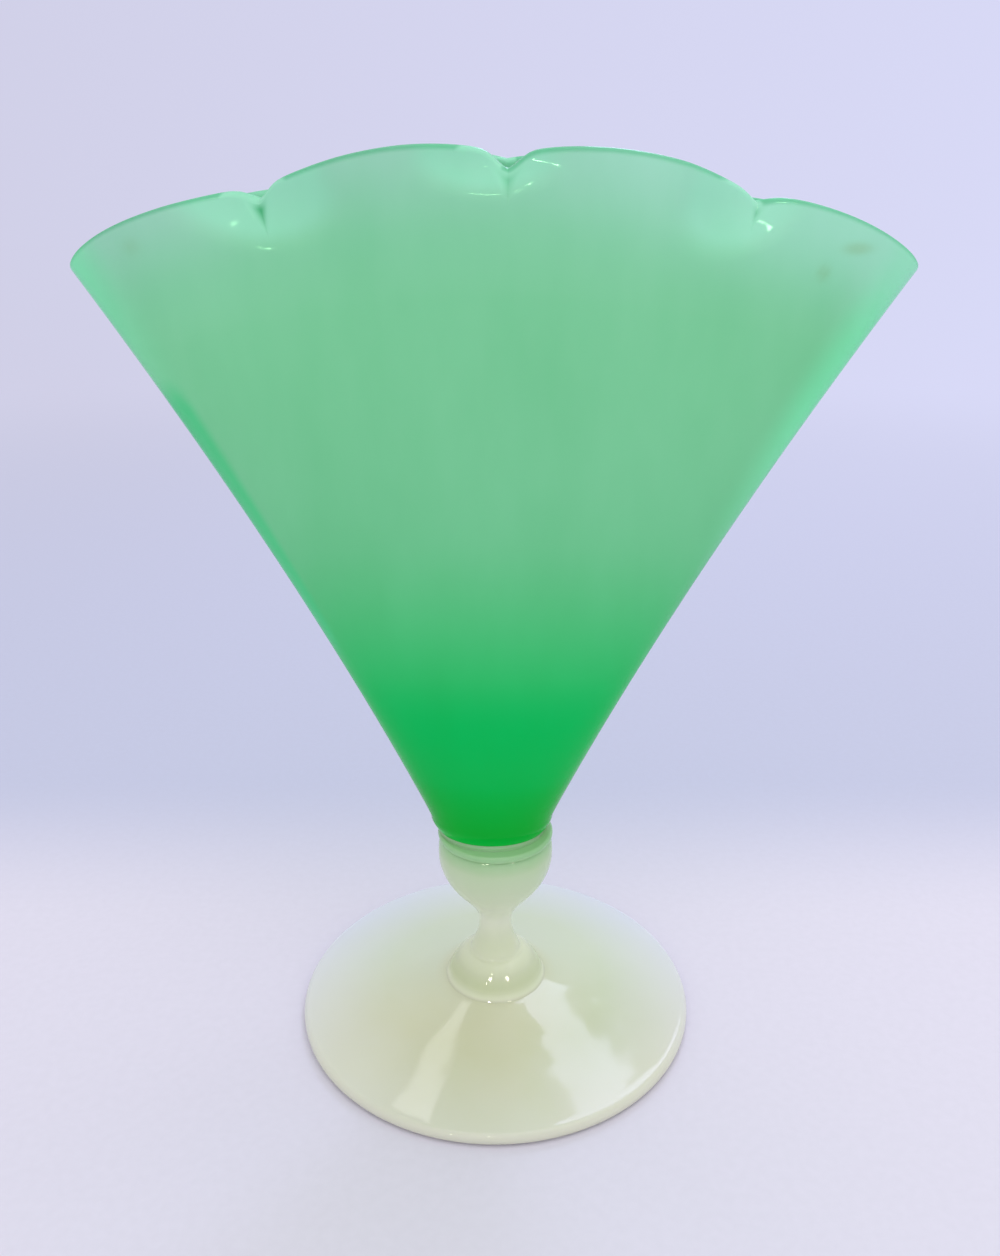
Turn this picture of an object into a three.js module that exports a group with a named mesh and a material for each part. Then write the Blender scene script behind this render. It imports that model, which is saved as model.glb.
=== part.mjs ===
// Stemmed fan vase of hand-worked glass. A jade green fan bowl, flattened front to back, has its
// mouth pressed in at three places so that the rim stands up in four fingers. A wafer welds the bowl
// to a knopped stem, and a second wafer welds the stem to a spread foot.
// Millimetres, +Z up. The origin is the centre of the ring the vase stands on. The fan spreads along
// X, and its two broad faces look along -Y and +Y.
import * as THREE from "three";

// Height of the whole vase, from the table to the top of the tallest finger
const VASE_HEIGHT = 215;

// Foot
const FOOT_DIAMETER = 104;
const FOOT_HEIGHT = 8.8;
const FOOT_EDGE = 3.2;
const FOOT_SLOPE_LIFT = 0.7;
const FOOT_PAD_DIAMETER = 27;
const STANDING_RING_WIDTH = 5;
const FOOT_HOLLOW = 4;
const PONTIL_DIAMETER = 18;
const PONTIL_DEPTH = 0.8;

// Wafer between the foot and the stem
const FOOT_WAFER_DIAMETER = 25;
const FOOT_WAFER_HEIGHT = 5.2;
const FOOT_WAFER_PAD_DIAMETER = 21;

// Stem: a ball knop, a narrow waist and a cup
const KNOP_DIAMETER = 24.4;
const KNOP_HEIGHT = 14;
const KNOP_SHOULDER = 0.6;
const WAIST_DIAMETER = 9;
const WAIST_HEIGHT = 4;
const CUP_HEIGHT = 22.2;
const CUP_LIP = 3;

// Wafer between the stem and the bowl, as wide as the cup it is welded to
const COLLAR_DIAMETER = 29.6;
const BOWL_WAFER_HEIGHT = 1.8;

// Bowl body. It is oval all the way down to its weld pad, which was set a little off the axis.
const BOWL_PAD_WIDTH = 26;
const BOWL_PAD_DEPTH = 20.4;
const HEEL_WIDTH = 31.4;
const HEEL_DEPTH = 23;
const HEEL_HEIGHT = 5;
const HEEL_SHIFT = -0.9;
const FAN_WIDTH = 180.6;
const CORNER_DROP = 23.2;
const EDGE_BOW = 3.1;
const MOUTH_DEPTH = 32;
const FACE_FLATNESS = 2.3;
const WALL = 2.6;
const EDGE_WALL = 4;
const BOWL_FLOOR = 9;

// Rim: the three notches lie on a shallow arc, and each finger arches up between its two ends. The
// front lip dips a little further into each notch than the rear lip. Around each notch the wall is
// pressed in as a shallow dish, set a little to one side, and the notch itself is a small sharp fold.
const NOTCH_SPACING = 50.6;
const NOTCH_SHIFT = 2.8;
const NOTCH_ARC_DROP = 1.8;
const NOTCH_ARC_RADIUS = 185;
const FRONT_NOTCH_DIP = 1.2;
const FRONT_NOTCH_WIDTH = 8;
const LEFT_OUTER_ARCH = 3.5;
const LEFT_INNER_ARCH = 4.2;
const RIGHT_INNER_ARCH = 5;
const RIGHT_OUTER_ARCH = 3.1;
const OUTER_ARCH_POWER = 0.8;
const INNER_ARCH_POWER = 1;
const DISH_EDGE = 1.6;
const LEFT_DISH_SHIFT = -0.5;
const LEFT_DISH_WIDTH = 20.8;
const LEFT_DISH_LENGTH = 12;
const LEFT_DISH_DEPTH = 4.2;
const MIDDLE_DISH_SHIFT = -4;
const MIDDLE_DISH_WIDTH = 18;
const MIDDLE_DISH_LENGTH = 8.5;
const MIDDLE_DISH_DEPTH = 3.2;
const RIGHT_DISH_SHIFT = -4;
const RIGHT_DISH_WIDTH = 14.5;
const RIGHT_DISH_LENGTH = 12;
const RIGHT_DISH_DEPTH = 4.2;
const FOLD_DEPTH = 1;
const FOLD_WIDTH = 6;
const FOLD_LENGTH = 7.5;

// Levels of the weld faces, from the table up
const FOOT_TOP = FOOT_HEIGHT;
const STEM_BOTTOM = FOOT_TOP + FOOT_WAFER_HEIGHT;
const STEM_TOP = STEM_BOTTOM + KNOP_HEIGHT + WAIST_HEIGHT / 2 + CUP_HEIGHT;
const BOWL_BOTTOM = STEM_TOP + BOWL_WAFER_HEIGHT;
const HEEL_TOP = BOWL_BOTTOM + HEEL_HEIGHT;
const CORNER_LEVEL = VASE_HEIGHT - CORNER_DROP;

// The flat on the bowl wafer reaches the far end of the pad that sits off the axis
const BOWL_WAFER_PAD_DIAMETER = BOWL_PAD_WIDTH + 2 * Math.abs(HEEL_SHIFT);

// Facets: around the turned pieces, across one finger, along the wall and over the lip
const TURNED_FACETS = 48;
const FINGER_FACETS = 14;
const WALL_ROWS = 11;
const LIP_ROWS = 4;

const { lerp } = THREE.MathUtils;

const jade = new THREE.MeshStandardMaterial({ color: 0x55b883, roughness: 0.1, metalness: 0 });
const pearl = new THREE.MeshStandardMaterial({ color: 0xcfd6b8, roughness: 0.1, metalness: 0 });

// A turned piece from its half-profile: x is the radius and y the height, drawn from the top of the
// axis, out around the piece and back to the axis below.
function turned(name, profile, material) {
  const points = profile.getPoints(5).reverse();
  const geometry = new THREE.LatheGeometry(points, TURNED_FACETS);
  geometry.rotateX(Math.PI / 2);
  const mesh = new THREE.Mesh(geometry, material);
  mesh.name = name;
  return mesh;
}

// Spread foot: a flat weld pad on top, a gently hollowed slope out to a rounded edge, a flat ring to
// stand on, and a shallow hollow below with the ground mark of the iron at its centre.
function foot() {
  const radius = FOOT_DIAMETER / 2;
  const pad = FOOT_PAD_DIAMETER / 2;
  const round = FOOT_EDGE / 2;
  const ring = radius - round - STANDING_RING_WIDTH;
  const mark = PONTIL_DIAMETER / 2;
  const profile = new THREE.Path();
  profile.moveTo(0, FOOT_TOP);
  profile.lineTo(pad, FOOT_TOP);
  profile.quadraticCurveTo(lerp(pad, radius, 0.45), FOOT_EDGE + FOOT_SLOPE_LIFT, radius - round, FOOT_EDGE);
  profile.absarc(radius - round, round, round, Math.PI / 2, -Math.PI / 2, true);
  profile.lineTo(ring, 0);
  profile.quadraticCurveTo(lerp(ring, mark, 0.6), FOOT_HOLLOW, mark, FOOT_HOLLOW);
  profile.quadraticCurveTo(mark / 2, FOOT_HOLLOW + PONTIL_DEPTH, 0, FOOT_HOLLOW + PONTIL_DEPTH);
  return turned("foot", profile, pearl);
}

// Flattened bead with a rounded edge. It is flat where it meets the piece below and the piece above.
function bead(name, bottom, height, diameter, topPad) {
  const radius = diameter / 2;
  const round = height / 2;
  const top = bottom + height;
  const profile = new THREE.Path();
  profile.moveTo(0, top);
  profile.lineTo(topPad / 2, top);
  profile.quadraticCurveTo(radius, top, radius, bottom + round);
  profile.quadraticCurveTo(radius, bottom, radius - round / 2, bottom);
  profile.lineTo(0, bottom);
  return turned(name, profile, pearl);
}

// Stem in one drawn gather: from the cup under the bowl, in to the waist, out over the ball knop and
// in again to the face on the lower wafer.
function stem() {
  const cup = COLLAR_DIAMETER / 2;
  const waist = WAIST_DIAMETER / 2;
  const knop = KNOP_DIAMETER / 2;
  const waistLevel = STEM_BOTTOM + KNOP_HEIGHT + WAIST_HEIGHT / 2;
  const knopTop = waistLevel - WAIST_HEIGHT / 2;
  const knopLevel = STEM_BOTTOM + KNOP_HEIGHT * 0.48;
  const cupLevel = STEM_TOP - CUP_LIP * 1.6;
  const bend = lerp(cupLevel, waistLevel, 0.6);
  const profile = new THREE.Path();
  profile.moveTo(0, STEM_TOP);
  profile.lineTo(cup - CUP_LIP / 2, STEM_TOP);
  profile.quadraticCurveTo(cup, STEM_TOP, cup, cupLevel);
  profile.bezierCurveTo(cup, bend, waist, bend, waist, waistLevel);
  profile.quadraticCurveTo(waist, knopTop, lerp(waist, knop, 0.35), knopTop - KNOP_SHOULDER);
  profile.quadraticCurveTo(knop, knopTop - 2 * KNOP_SHOULDER, knop, knopLevel);
  profile.quadraticCurveTo(knop, STEM_BOTTOM, FOOT_WAFER_PAD_DIAMETER / 2, STEM_BOTTOM);
  profile.lineTo(0, STEM_BOTTOM);
  return turned("stem", profile, pearl);
}

// How far up the wall z is, from 0 at the heel to 1 at the corners of the fan, and a little more at
// the rim between them.
function wallShare(z) {
  return (z - HEEL_TOP) / (CORNER_LEVEL - HEEL_TOP);
}

// How far the heel has rounded in at height z, from 0 at its top to 1 at the weld pad.
function heelTurn(z) {
  return ((HEEL_TOP - z) / HEEL_HEIGHT) ** 2;
}

// Where the middle of the fan lies at height z. It leans from the heel back to the axis.
function middle(z) {
  const t = Math.min(Math.max(wallShare(z), 0), 1);
  return lerp(HEEL_SHIFT, 0, t);
}

// Half the width of the fan at height z. The side edges bow inward from a straight flare, and below
// the heel the wall rounds in to the weld pad.
function halfWidth(z) {
  const t = wallShare(z);
  if (t < 0) {
    return lerp(HEEL_WIDTH / 2, BOWL_PAD_WIDTH / 2, heelTurn(z));
  }
  return lerp(HEEL_WIDTH / 2, FAN_WIDTH / 2, t) - 4 * EDGE_BOW * t * (1 - t);
}

// Half the depth of the bowl at height z, over the crown of a finger.
function halfDepth(z) {
  const t = wallShare(z);
  if (t < 0) {
    return lerp(HEEL_DEPTH / 2, BOWL_PAD_DEPTH / 2, heelTurn(z));
  }
  return lerp(HEEL_DEPTH / 2, MOUTH_DEPTH / 2, t);
}

// Height of a notch at x, on the arc that all three lie on.
function notchLevel(x) {
  const sag = NOTCH_ARC_RADIUS - Math.sqrt(NOTCH_ARC_RADIUS ** 2 - x ** 2);
  return VASE_HEIGHT - NOTCH_ARC_DROP - sag;
}

// The ends of the fingers from left to right: a corner, the three notches and the other corner. Each
// has its place across the fan, as a share of the half-width, and its height.
function fingerEnds() {
  const notches = [-1, 0, 1].map((i) => {
    const x = NOTCH_SHIFT + i * NOTCH_SPACING;
    const z = notchLevel(x);
    return { across: x / halfWidth(z), z };
  });
  return [{ across: -1, z: CORNER_LEVEL }, ...notches, { across: 1, z: CORNER_LEVEL }];
}

// Distance across the wall, at height z, from a place on the fan to the nearest notch.
function fromNotch(across, z) {
  const notches = fingerEnds().slice(1, 4);
  return Math.min(...notches.map((notch) => Math.abs(across - notch.across))) * halfWidth(z);
}

// Lines up the wall across one face, from corner to corner, crowded at the notches. Each gives its
// face, its place across the fan and the height of the rim above it.
function wallLines(face) {
  const ends = fingerEnds();
  const arches = [
    { rise: LEFT_OUTER_ARCH, power: OUTER_ARCH_POWER },
    { rise: LEFT_INNER_ARCH, power: INNER_ARCH_POWER },
    { rise: RIGHT_INNER_ARCH, power: INNER_ARCH_POWER },
    { rise: RIGHT_OUTER_ARCH, power: OUTER_ARCH_POWER },
  ];
  const dip = face < 0 ? FRONT_NOTCH_DIP : 0;
  const lines = [];
  arches.forEach((arch, finger) => {
    const from = ends[finger];
    const to = ends[finger + 1];
    for (let i = 0; i < FINGER_FACETS; i += 1) {
      const t = (1 - Math.cos((Math.PI * i) / FINGER_FACETS)) / 2;
      const across = lerp(from.across, to.across, t);
      const arched = lerp(from.z, to.z, t) + arch.rise * (4 * t * (1 - t)) ** arch.power;
      const aside = (2 * fromNotch(across, arched)) / FRONT_NOTCH_WIDTH;
      lines.push({ face, across, rim: arched - dip * Math.exp(-aside * aside) });
    }
  });
  lines.push({ face, across: 1, rim: CORNER_LEVEL });
  return lines;
}

// How far the wall is pressed in at a place across the fan, at height z: a dish around each notch with
// a softened edge, and the fold at the notch itself. Above a notch its dish runs straight up the wall.
function pressed(across, z) {
  const dishes = [
    [LEFT_DISH_SHIFT, LEFT_DISH_WIDTH, LEFT_DISH_LENGTH, LEFT_DISH_DEPTH],
    [MIDDLE_DISH_SHIFT, MIDDLE_DISH_WIDTH, MIDDLE_DISH_LENGTH, MIDDLE_DISH_DEPTH],
    [RIGHT_DISH_SHIFT, RIGHT_DISH_WIDTH, RIGHT_DISH_LENGTH, RIGHT_DISH_DEPTH],
  ];
  const depths = fingerEnds().slice(1, 4).map((notch, i) => {
    const [shift, width, length, depth] = dishes[i];
    const aside = (across - notch.across) * halfWidth(z);
    const below = Math.max(notch.z - z, 0);
    const away = ((aside - shift) / width) ** 2 + (below / length) ** 2;
    const fold = 1 - below / FOLD_LENGTH - (2 * Math.abs(aside)) / FOLD_WIDTH;
    return depth * Math.max(1 - away, 0) ** DISH_EDGE + FOLD_DEPTH * Math.max(fold, 0);
  });
  return Math.max(...depths);
}

// A point of the wall on one of its lines. Inset 0 is the outer skin and 1 the inner skin.
function wallPoint(line, z, inset) {
  const t = Math.min(Math.max(wallShare(z), 0), 1);
  const power = lerp(2, FACE_FLATNESS, t);
  const oval = Math.max(1 - Math.abs(line.across) ** power, 0) ** (1 / power);
  const depth = oval * (halfDepth(z) - pressed(line.across, z) - inset * WALL);
  const side = line.across * (halfWidth(z) - inset * EDGE_WALL);
  return new THREE.Vector3(middle(z) + side, line.face * depth, z);
}

// One closed loop of wall points, at a height and inset given for each line.
function wallRing(lines, heightOf, inset) {
  return lines.map((line) => wallPoint(line, heightOf(line), inset));
}

// Loops of the bowl in order: up the outer skin, over the rounded lip and down the inner skin. Each
// runs along the front face from left to right and back along the rear face.
function bowlRings() {
  const lines = [...wallLines(-1).slice(0, -1), ...wallLines(1).slice(1).reverse()];
  const lip = WALL / 2;
  const floor = BOWL_BOTTOM + BOWL_FLOOR;
  const rings = [0, 0.35, 0.7].map((s) => wallRing(lines, () => BOWL_BOTTOM + s * HEEL_HEIGHT, 0));
  const share = (row) => 1 - (1 - row / WALL_ROWS) ** 2;
  for (let row = 0; row <= WALL_ROWS; row += 1) {
    rings.push(wallRing(lines, (line) => lerp(HEEL_TOP, line.rim - lip, share(row)), 0));
  }
  for (let row = 1; row < LIP_ROWS; row += 1) {
    const turn = (Math.PI * row) / LIP_ROWS;
    const rise = lip * (1 - Math.sin(turn));
    rings.push(wallRing(lines, (line) => line.rim - rise, (1 - Math.cos(turn)) / 2));
  }
  for (let row = WALL_ROWS; row >= 0; row -= 1) {
    rings.push(wallRing(lines, (line) => lerp(floor + WALL, line.rim - lip, share(row)), 1));
  }
  const inner = rings[rings.length - 1];
  [0.9, 0.6].forEach((s) => {
    const z = floor + WALL * (1 - Math.sqrt(1 - s * s));
    rings.push(inner.map((point) => new THREE.Vector3(lerp(HEEL_SHIFT, point.x, s), point.y * s, z)));
  });
  return rings;
}

// Skin over a stack of loops with the same number of points, closed at each end on a middle point.
function loft(rings, start, end) {
  const count = rings[0].length;
  const points = [start, ...rings.flat(), end];
  const last = points.length - 1;
  const at = (ring, i) => 1 + ring * count + (i % count);
  const index = [];
  for (let i = 0; i < count; i += 1) {
    index.push(0, at(0, i + 1), at(0, i));
    index.push(last, at(rings.length - 1, i), at(rings.length - 1, i + 1));
    for (let ring = 0; ring < rings.length - 1; ring += 1) {
      index.push(at(ring, i), at(ring, i + 1), at(ring + 1, i));
      index.push(at(ring, i + 1), at(ring + 1, i + 1), at(ring + 1, i));
    }
  }
  const geometry = new THREE.BufferGeometry().setFromPoints(points);
  geometry.setIndex(index);
  geometry.computeVertexNormals();
  return geometry;
}

// Fan bowl: a hollow shell with a solid heel, its mouth pressed into four fingers.
function bowl() {
  const start = new THREE.Vector3(HEEL_SHIFT, 0, BOWL_BOTTOM);
  const end = new THREE.Vector3(HEEL_SHIFT, 0, BOWL_BOTTOM + BOWL_FLOOR);
  const mesh = new THREE.Mesh(loft(bowlRings(), start, end), jade);
  mesh.name = "bowl";
  return mesh;
}

const vase = new THREE.Group();
vase.add(foot());
vase.add(bead("foot_wafer", FOOT_TOP, FOOT_WAFER_HEIGHT, FOOT_WAFER_DIAMETER, FOOT_WAFER_PAD_DIAMETER));
vase.add(stem());
vase.add(bead("bowl_wafer", STEM_TOP, BOWL_WAFER_HEIGHT, COLLAR_DIAMETER, BOWL_WAFER_PAD_DIAMETER));
vase.add(bowl());

export default vase;
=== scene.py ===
"""Stemmed fan vase in jade and pearl glass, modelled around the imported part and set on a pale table."""

import math

import bpy
import numpy as np
from bpy.props import FloatProperty, FloatVectorProperty, IntProperty, PointerProperty
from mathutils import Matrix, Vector


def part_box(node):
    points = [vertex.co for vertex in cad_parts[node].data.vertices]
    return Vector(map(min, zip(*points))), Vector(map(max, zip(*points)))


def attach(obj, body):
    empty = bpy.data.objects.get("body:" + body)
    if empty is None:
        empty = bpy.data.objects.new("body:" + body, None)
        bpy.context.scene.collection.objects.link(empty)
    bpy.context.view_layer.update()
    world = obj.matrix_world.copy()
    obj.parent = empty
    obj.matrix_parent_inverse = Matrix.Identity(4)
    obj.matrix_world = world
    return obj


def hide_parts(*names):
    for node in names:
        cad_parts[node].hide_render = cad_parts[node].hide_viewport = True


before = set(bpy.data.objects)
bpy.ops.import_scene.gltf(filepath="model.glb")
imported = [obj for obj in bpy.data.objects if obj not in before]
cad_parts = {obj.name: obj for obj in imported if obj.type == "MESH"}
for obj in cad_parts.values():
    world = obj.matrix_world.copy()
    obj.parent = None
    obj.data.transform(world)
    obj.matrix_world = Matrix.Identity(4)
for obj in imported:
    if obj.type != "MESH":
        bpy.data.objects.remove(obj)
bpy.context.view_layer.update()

bl_info = {
    "name": "Fan Vase",
    "version": (1, 0, 0),
    "blender": (4, 5, 0),
    "location": "View3D > Sidebar > Fan Vase",
    "description": "Builds a stemmed glass fan vase with its rim pressed into four fingers",
    "category": "Add Mesh",
}

VASE_HEIGHT = 0.215
FOOT_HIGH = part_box("foot")[1]
STEM_LOW, STEM_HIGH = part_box("stem")
BOWL_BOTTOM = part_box("bowl")[0].z
JADE = "worked_jade_glass"
PEARL = "worked_pearl_glass"
CREASE_ANGLE = math.radians(35)

# Height above the table at which the colours of the pearl glass end
PEARL_TOP = 0.056

# Brings the highest value of t (1 - t) (1 - t), the shape of a sag, to 1
SAG_SCALE = 27 / 4

# Loops of the bowl's mesh over its heel, over its lip and over the rounding of its floor
HEEL_LOOPS = 9
LIP_LOOPS = 11
FLOOR_STEPS = (0.98, 0.92, 0.8, 0.6, 0.35, 0.15)

# Where the painted light and shade of the jade glass start and are full, as shares of the half width or of
# the wall's height
# Painted light: brighter bands along both side edges, reaching lower and stronger on the right, where the
# wall turns away from the light
EDGE_BAND = (0.83, 0.96)
EDGE_BAND_LEFT_STRENGTH = 0.8
EDGE_BAND_LEFT_LOW = 0.62
EDGE_BAND_RIGHT_LOW = 0.38
EDGE_BAND_FADE = 1 / 3
# Painted shade: a deeper green band just inside the left side edge, about half way up the wall
LEFT_EDGE_SHADE_BAND = (0.88, 0.93)
LEFT_EDGE_SHADE_MIDDLE = 0.52
LEFT_EDGE_SHADE_REACH = (0.25, 0.1875)
# Painted light: the upper right of the wall paler, as lit from the right
SHOULDER_ACROSS = (-0.1786, 0.5357)
SHOULDER_HEIGHT = (0.8167, 0.9833)

# Darker brownish spots on the front face near the corners: place across, height, half width, half height and
# strength
CORNER_SPOTS = (
    (0.0735, 0.1955, 0.0034, 0.0013, 1.0),
    (0.0668, 0.1908, 0.0016, 0.0019, 0.8),
    (-0.0732, 0.1958, 0.0024, 0.0022, 0.5),
)

# Where the lights stand
OVERHEAD_PLACE = (0.3, 0.0, 1.4)
WINDOW_PLACE = (0.198, 0.687, 0.836)
WINDOW_STRIP_PLACE = (-0.153, 0.571, 0.928)
FILL_CARD_PLACE = (0.0, -0.41, 0.36)
DISH_LAMPS = {
    "lamp_left": (-0.387, -0.884, 0.509),
    "lamp_middle": (-0.155, -0.742, 0.869),
    "lamp_right": (-0.042, -0.823, 0.788),
}
BEAD_LAMPS = {
    "bead_lamp_left": (-0.24, -0.865, 0.65),
    "bead_lamp_right": (0.496, -0.77, 0.621),
}
WINDOW_LIGHT = (0.66, 0.66, 1.0)
LAMP_LIGHT = (1.0, 0.95, 0.75)
AMBIENT_LIGHT = (0.96, 0.97, 1.0, 1.0)


def length(name, default, description):
    """A length that a user may change, in metres."""
    return FloatProperty(name=name, description=description, default=default, min=0.0, unit="LENGTH",
                         precision=5)


def lengths(name, default, description):
    """A row of lengths, one for each notch or each finger from left to right, in metres."""
    return FloatVectorProperty(name=name, description=description, default=default, size=len(default),
                               unit="LENGTH", precision=5)


def share(name, default, description, top=1.0):
    """A plain number between nothing and a top value."""
    return FloatProperty(name=name, description=description, default=default, min=0.0, max=top)


def colour(name, default, description):
    """A linear colour that a user may change."""
    return FloatVectorProperty(name=name, description=description, default=default, min=0.0, max=1.0,
                               subtype="COLOR")


class FanBowlSettings(bpy.types.PropertyGroup):
    """Sizes of the fan bowl and its pressed rim."""

    fan_width: length("Fan Width", 0.1803, "Width of the fan from corner to corner")
    corner_level: length("Corner Level", VASE_HEIGHT - 0.0232, "Height of the two corners above the table")
    bottom: length("Bottom", BOWL_BOTTOM, "Height of the weld face under the bowl")
    pad_width: length("Pad Width", 0.026, "Width of the weld face under the bowl")
    pad_depth: length("Pad Depth", 0.0204, "Depth of the weld face under the bowl")
    heel_width: length("Heel Width", 0.0314, "Width of the bowl just above its rounded heel")
    heel_depth: length("Heel Depth", 0.023, "Depth of the bowl just above its rounded heel")
    heel_height: length("Heel Height", 0.005, "Height of the rounded heel")
    heel_shift: length("Heel Shift", 0.0009, "How far the heel was set to the left of the stem's axis")
    edge_bow: length("Edge Bow", 0.0031, "How far the side edges bow in from a straight flare")
    mouth_depth: length("Mouth Depth", 0.032, "Depth of the mouth over the crown of a finger")
    face_flatness: FloatProperty(name="Face Flatness", description="Roundness of the section, 2 is oval",
                                 default=2.3, min=2.0, max=4.0)
    wall: length("Wall", 0.0026, "Thickness of the two broad faces")
    edge_wall: length("Edge Wall", 0.004, "Thickness of the two side edges")
    floor_thickness: length("Floor", 0.009, "Thickness of the solid glass under the hollow")
    notch_spacing: length("Notch Spacing", 0.0506, "Distance from one notch to the next")
    notch_shift: length("Notch Shift", 0.0028, "How far the middle notch is off centre")
    notch_crown: length("Notch Crown", VASE_HEIGHT - 0.00181, "Top of the arc that the notches lie on")
    notch_radius: length("Notch Arc Radius", 0.185, "Radius of the arc that the notches lie on")
    front_dips: lengths("Front Dips", (0.0018, 0.0026, 0.0008),
                        "How much deeper the front lip dips into each notch")
    front_dip_width: length("Front Dip Width", 0.0065, "Width of those dips")
    finger_arches: lengths("Finger Arches", (0.0035, 0.0047, 0.005, 0.0031),
                           "Rise of each finger above the line between its ends")
    arch_powers: FloatVectorProperty(name="Arch Powers", size=4, default=(0.8, 1.0, 1.0, 0.8), min=0.5,
                                     max=2.0, description="Shape of each arch, below 1 is fuller at its ends")
    left_sags: lengths("Left Sags", (0.0, 0.0011, 0.00055, 0.0002),
                       "How far the left half of each finger's top sags")
    right_sags: lengths("Right Sags", (0.0009, 0.0, 0.00055, 0.00035),
                        "How far the right half of each finger's top sags")
    dish_shifts: lengths("Dish Shifts", (-0.0005, -0.004, -0.004),
                         "How far the pressed dish lies to the right of each notch")
    dish_widths: lengths("Dish Widths", (0.0208, 0.018, 0.0145),
                         "How far the pressed dish of each notch spreads to each side")
    dish_lengths: lengths("Dish Lengths", (0.012, 0.0085, 0.012),
                          "How far the pressed dish of each notch runs down the wall")
    dish_depths: lengths("Dish Depths", (0.0042, 0.0032, 0.0042),
                         "How far the wall is pressed in at each notch")
    dish_edge: share("Dish Edge", 1.6, "Softness of the dish's edge, 1 is sharp", top=3.0)
    fold_depth: length("Fold Depth", 0.001, "Depth of the small fold inside each dish")
    fold_widths: lengths("Fold Widths", (0.0062, 0.009, 0.0048), "Width of the small fold below each notch")
    fold_lengths: lengths("Fold Lengths", (0.0072, 0.0068, 0.0055),
                          "Length of the small fold below each notch")
    # Painted shade in the fold below each notch, partly the deeper green of the thicker glass there
    fold_shade_tints: FloatVectorProperty(name="Fold Tints", size=3, default=(1.0, 0.6, 0.6), min=0.0, max=1.0,
                                    description="How deep the green turns in the fold below each notch")
    # Where the painted shade in a fold starts below the lip
    fold_drop: length("Fold Drop", 0.0016, "How far below the lip a fold turns deep green")
    # Reach of the painted shade that darkens the lip under the light from overhead
    lip_reach: length("Lip Reach", 0.004, "How far below its top the lip is tinted at most")
    rib_pitch: length("Rib Pitch", 0.0185, "Distance between the faint ribs of the blow mould")
    rib_depth: length("Rib Depth", 0.00008, "Height of the faint ribs")
    weld_swell: length("Weld Swell", 0.0005, "How far the pearl glass at the heel stands out to each side")
    weld_rise: length("Weld Rise", 0.0008, "Height of the pearl glass that rose around the heel")
    finger_facets: IntProperty(name="Finger Facets", description="Facets across one finger", default=44,
                               min=8)
    wall_rows: IntProperty(name="Wall Rows", description="Rows of facets up the wall", default=72, min=12)


class TurnedGlassSettings(bpy.types.PropertyGroup):
    """Sizes of the foot, the wafers and the stem."""

    foot_diameter: length("Foot Diameter", FOOT_HIGH.x * 2, "Diameter of the foot")
    foot_edge: length("Foot Edge", 0.0032, "Thickness of the foot at its rounded edge")
    foot_swell: length("Foot Swell", 0.0022, "How far the cone of the foot swells half way out")
    foot_pad: length("Foot Pad", 0.027, "Diameter of the flat on top of the foot")
    standing_ring: length("Standing Ring", 0.005, "Width of the ring that the foot stands on")
    foot_hollow: length("Foot Hollow", 0.004, "Height of the hollow under the foot")
    mark_diameter: length("Mark Diameter", 0.018, "Diameter of the ground mark under the foot")
    mark_depth: length("Mark Depth", 0.0008, "Depth of the ground mark under the foot")
    foot_wafer: length("Foot Wafer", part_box("foot_wafer")[1].x * 2, "Diameter of the wafer on the foot")
    foot_wafer_pad: length("Foot Wafer Pad", 0.0208, "Diameter of the weld between the stem and that wafer")
    foot_weld: length("Foot Weld", 0.0009, "How far the wafer flowed out over the foot")
    bowl_wafer: length("Bowl Wafer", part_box("bowl_wafer")[1].x * 2, "Diameter of the wafer under the bowl")
    bowl_wafer_tuck: length("Bowl Wafer Tuck", 0.00045, "How far that wafer tucks in above the cup")
    neck: length("Neck Diameter", 0.0086, "Diameter of the stem at its narrowest")
    neck_level: length("Neck Level", 0.026, "Height of the narrowest place above the table")
    flare: length("Flare Diameter", 0.0128, "Diameter of the stem where it spreads out over the wafer")
    cup: length("Cup Diameter", STEM_HIGH.x * 2, "Diameter of the cup under the bowl")
    cup_lip: length("Cup Lip", 0.003, "Rounding of the cup's lip")
    facets: IntProperty(name="Facets", description="Facets around a turned piece", default=160, min=24)
    curve_steps: IntProperty(name="Curve Steps", description="Steps along each curve of a profile",
                             default=24, min=4)


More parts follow.
